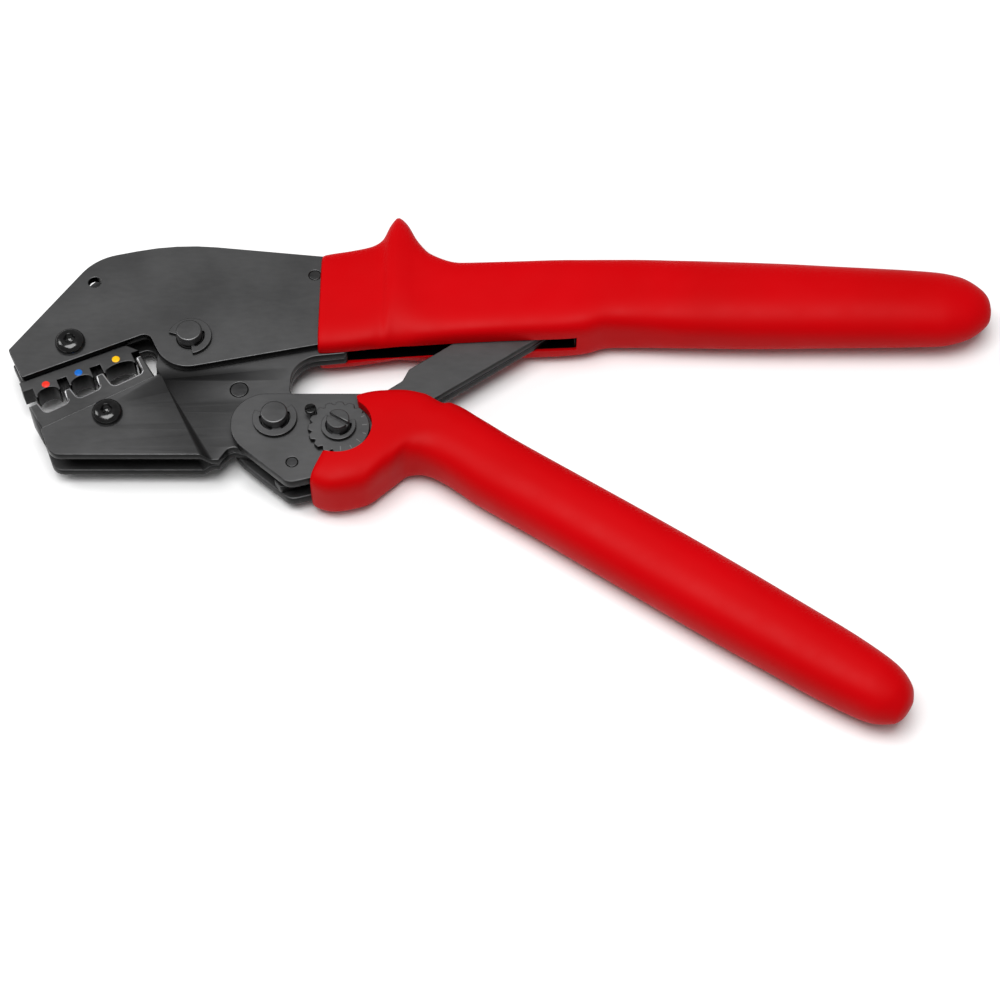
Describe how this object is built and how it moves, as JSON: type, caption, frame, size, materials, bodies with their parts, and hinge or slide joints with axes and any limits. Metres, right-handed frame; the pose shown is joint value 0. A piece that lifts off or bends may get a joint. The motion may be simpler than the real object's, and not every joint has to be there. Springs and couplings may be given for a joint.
{
  "type": "crimping pliers",
  "caption": "Lever crimping pliers with a toggle linkage, notched dies with colour marks, a force adjusting wheel and long plastic grips.",
  "frame": {"origin": "middle of the bounding box seen from above, at the lowest point of the grips, the pliers lying flat with the jaws partly open", "axes": "+X from the jaws towards the ends of the grips, along the longest extent; +Y from the lower grip towards the upper grip; +Z out of the plates on the side of the clips, wheel and screw heads, parallel to every pivot"},
  "size_m": [0.2491, 0.146, 0.0187],
  "materials": {
    "burnished_steel": "satin, burnished dark",
    "die_steel": "milled, dark with bright worn edges",
    "black_steel": "glossy black oxide",
    "pin_steel": "turned, dark, slightly oiled",
    "spring_steel": "drawn wire",
    "red_plastic": "semi-matte dipped plastic",
    "mark_red": "enamel dot",
    "mark_blue": "enamel dot",
    "mark_yellow": "enamel dot"
  },
  "bodies": {
    "frame": {"frame_plate_top": "burnished_steel", "frame_plate_bottom": "burnished_steel", "upper_grip": "red_plastic", "upper_die": "die_steel", "upper_die_screw": "black_steel", "red_die_mark": "mark_red", "blue_die_mark": "mark_blue", "yellow_die_mark": "mark_yellow", "main_pin": "pin_steel", "main_pin_clip": "pin_steel", "link_anchor_pin": "burnished_steel", "frame_rivet_front": "burnished_steel", "frame_rivet_rear": "burnished_steel", "frame_spacer_front": "burnished_steel", "frame_spacer_rear": "burnished_steel"},
    "moving_jaw": {"jaw_plate_top": "burnished_steel", "jaw_plate_bottom": "burnished_steel", "jaw_rivet": "burnished_steel", "lower_die": "die_steel", "lower_die_screw": "black_steel"},
    "lower_handle": {"handle_plate_top": "burnished_steel", "handle_plate_bottom": "burnished_steel", "lower_grip": "red_plastic", "toggle_pin": "pin_steel", "toggle_pin_clip": "pin_steel", "wheel_lock_screw": "black_steel", "pawl_pin": "pin_steel", "pawl_spring": "spring_steel", "spring_post": "spring_steel", "handle_rivet_front": "burnished_steel", "handle_rivet_rear": "burnished_steel", "handle_spacer_front": "burnished_steel", "handle_spacer_rear": "burnished_steel"},
    "ratchet_pawl": {"ratchet_pawl": "burnished_steel"},
    "adjusting_wheel": {"adjusting_wheel": "pin_steel", "eccentric_bolt": "pin_steel", "eccentric_bolt_clip": "pin_steel"},
    "link": {"link_plate_top": "burnished_steel", "link_plate_bottom": "burnished_steel", "link_rivet": "burnished_steel"}
  },
  "joints": [
    {"name": "jaw_pivot", "type": "hinge", "parent": "frame", "child": "moving_jaw", "pos_m": [-0.07925, 0.0329, 0.0082], "axis": [0, 0, 1], "range_deg": [-5.9, 0]},
    {"name": "handle_pivot", "type": "hinge", "parent": "moving_jaw", "child": "lower_handle", "pos_m": [-0.05655, 0.0076, 0.0082], "axis": [0, 0, 1], "range_deg": [0, 28.4]},
    {"name": "link_pivot", "type": "hinge", "parent": "lower_handle", "child": "link", "pos_m": [-0.04065, 0.0043, 0.0082], "axis": [0, 0, 1], "range_deg": [-26.7, 0]},
    {"name": "wheel_turn", "type": "hinge", "parent": "lower_handle", "child": "adjusting_wheel", "pos_m": [-0.04065, 0.0043, 0.0082], "axis": [0, 0, 1], "range_deg": [-90, 90]},
    {"name": "pawl_swing", "type": "hinge", "parent": "lower_handle", "child": "ratchet_pawl", "pos_m": [-0.05175, -0.0049, 0.0082], "axis": [0, 0, 1], "range_deg": [-15, 15], "stiffness_Nm_per_rad": 0.02}
  ],
  "couplings": [
    {"joint": "jaw_pivot", "follows": "handle_pivot", "ratio": -0.2077},
    {"joint": "link_pivot", "follows": "handle_pivot", "ratio": -0.94}
  ]
}
